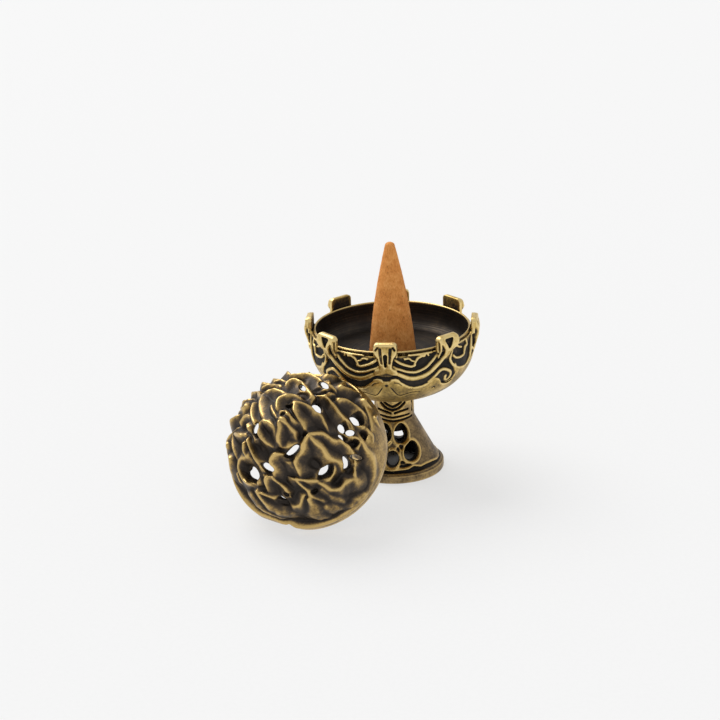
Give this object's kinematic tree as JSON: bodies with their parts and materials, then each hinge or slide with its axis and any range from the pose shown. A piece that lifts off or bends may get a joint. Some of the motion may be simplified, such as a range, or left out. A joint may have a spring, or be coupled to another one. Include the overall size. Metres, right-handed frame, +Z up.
{
  "type": "incense burner",
  "caption": "Small brass mountain-lid incense burner: pierced foot, clawed bowl with a turned dish, an incense cone standing in it, and the pierced lid leaning beside it.",
  "frame": {"origin": "centre of the foot's underside, on the surface that the burner stands on", "axes": "+Z up along the burner's axis, -Y towards the front claw, +X to the right seen from the front; the lid leans at the front left"},
  "size_m": [0.0647, 0.0761, 0.0629],
  "materials": {
    "foot_brass": "antiqued cast brass, brown patina, satin",
    "bowl_brass": "antiqued cast brass, dark recesses and rubbed golden edges",
    "dish_brass": "turned brass, blackened, with fine concentric tool marks",
    "screw_brass": "plain machined brass",
    "lid_brass": "antiqued cast brass, near-black brown with rubbed golden crests",
    "incense": "pressed wood powder, matte, fine-grained"
  },
  "bodies": {
    "burner": {"foot": "foot_brass", "bowl_shell": "bowl_brass", "dish_liner": "dish_brass", "bowl_screw": "screw_brass", "screw_washer": "screw_brass"},
    "lid": {"lid": "lid_brass"},
    "incense": {"incense_cone": "incense"}
  },
  "joints": [
    {"name": "lid_lift", "type": "slide", "parent": "burner", "child": "lid", "axis": [-0.1322, -0.75, 0.6481], "range_m": [0, 0.06]},
    {"name": "cone_lift", "type": "slide", "parent": "burner", "child": "incense", "axis": [0, 0, 1], "range_m": [0, 0.045]}
  ]
}
